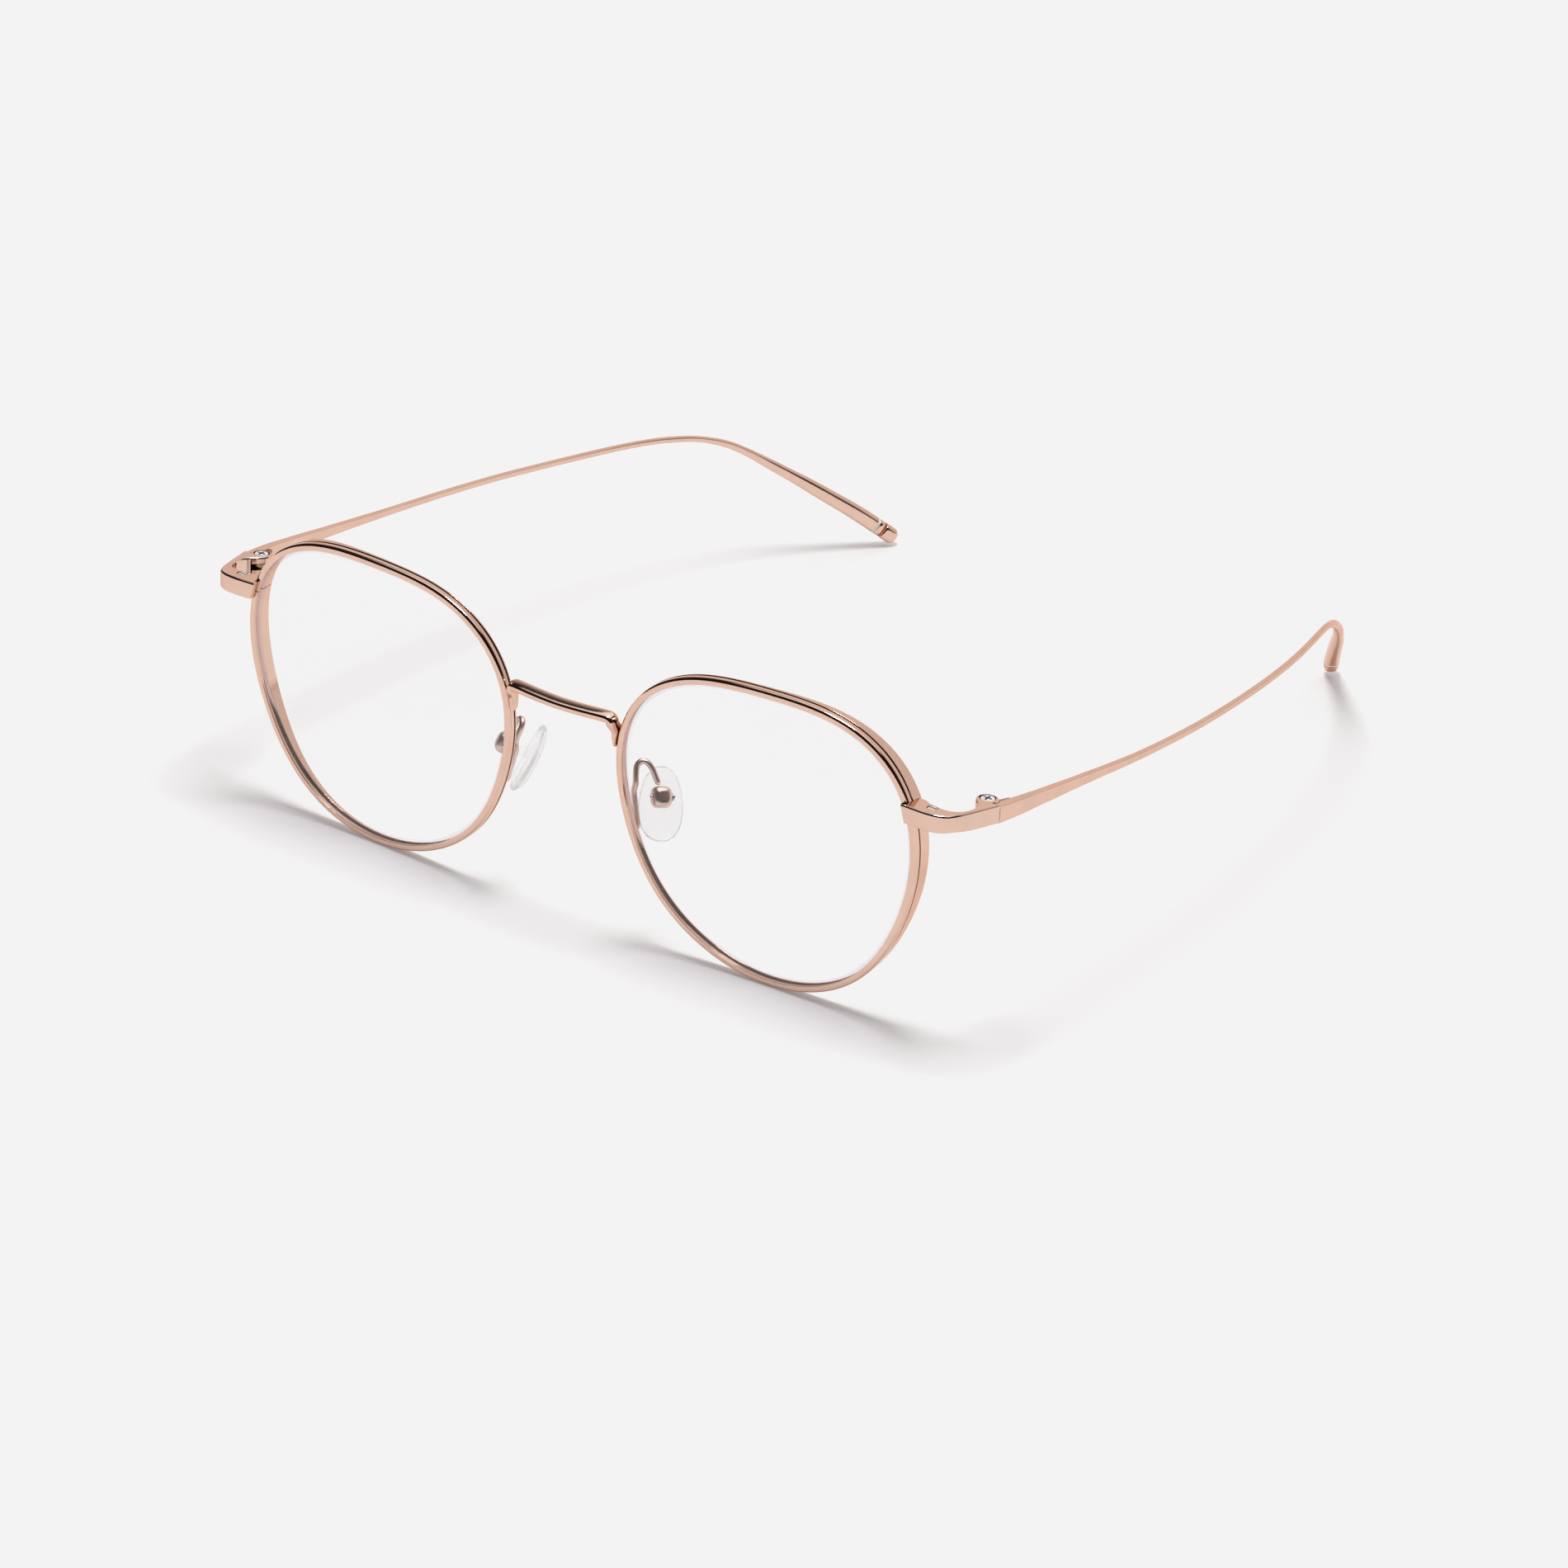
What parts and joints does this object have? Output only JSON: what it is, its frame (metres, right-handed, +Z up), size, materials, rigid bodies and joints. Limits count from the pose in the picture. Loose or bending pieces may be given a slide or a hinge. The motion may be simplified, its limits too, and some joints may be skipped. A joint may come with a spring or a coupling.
{
  "type": "metal eyeglasses",
  "caption": "Metal wire eyeglasses with crown-shaped full rims, clear lenses, adjustable nose pads and folding temples that end in ringed tips.",
  "frame": {"origin": "middle of the footprint, on the surface the glasses stand on", "axes": "+Z up, -Y the way the wearer looks, +X the wearer's left; temples open"},
  "size_m": [0.1386, 0.1573, 0.0472],
  "materials": {
    "rose_gold": "polished rose-gold plating",
    "steel": "bright steel screw",
    "clear_lens": "clear, polished",
    "clear_silicone": "clear soft silicone",
    "cream_inlay": "cream enamel",
    "copper_red": "copper-red lacquer"
  },
  "bodies": {
    "front": {"bridge": "rose_gold", "rim_left": "rose_gold", "lens_left": "clear_lens", "endpiece_left": "rose_gold", "closing_block_left": "rose_gold", "rim_lock_screw_left": "rose_gold", "hinge_screw_left": "steel", "pad_arm_left": "rose_gold", "pad_box_left": "rose_gold", "pad_screw_left": "steel", "rim_right": "rose_gold", "lens_right": "clear_lens", "endpiece_right": "rose_gold", "closing_block_right": "rose_gold", "rim_lock_screw_right": "rose_gold", "hinge_screw_right": "steel", "pad_arm_right": "rose_gold", "pad_box_right": "rose_gold", "pad_screw_right": "steel"},
    "temple_body_left": {"temple_left": "rose_gold", "hinge_leaf_left": "rose_gold", "inlay_ring_left": "cream_inlay", "tip_collar_left": "rose_gold", "groove_ring_left": "copper_red", "tip_cap_left": "rose_gold"},
    "pad_body_left": {"nose_pad_left": "clear_silicone"},
    "temple_body_right": {"temple_right": "rose_gold", "hinge_leaf_right": "rose_gold", "inlay_ring_right": "cream_inlay", "tip_collar_right": "rose_gold", "groove_ring_right": "copper_red", "tip_cap_right": "rose_gold"},
    "pad_body_right": {"nose_pad_right": "clear_silicone"}
  },
  "joints": [
    {"name": "temple_fold_left", "type": "hinge", "parent": "front", "child": "temple_body_left", "pos_m": [0.0655, -0.06523, 0.03472], "axis": [0, -0.0072, 1], "range_deg": [0, 78]},
    {"name": "pad_rock_left", "type": "hinge", "parent": "front", "child": "pad_body_left", "pos_m": [0.01424, -0.07114, 0.0224], "axis": [0.613, 0.783, -0.106], "range_deg": [-8, 8]},
    {"name": "temple_fold_right", "type": "hinge", "parent": "front", "child": "temple_body_right", "pos_m": [-0.0655, -0.06523, 0.03472], "axis": [0, 0.0072, -1], "range_deg": [0, 84]},
    {"name": "pad_rock_right", "type": "hinge", "parent": "front", "child": "pad_body_right", "pos_m": [-0.01424, -0.07114, 0.0224], "axis": [-0.613, 0.783, -0.106], "range_deg": [-8, 8]}
  ]
}
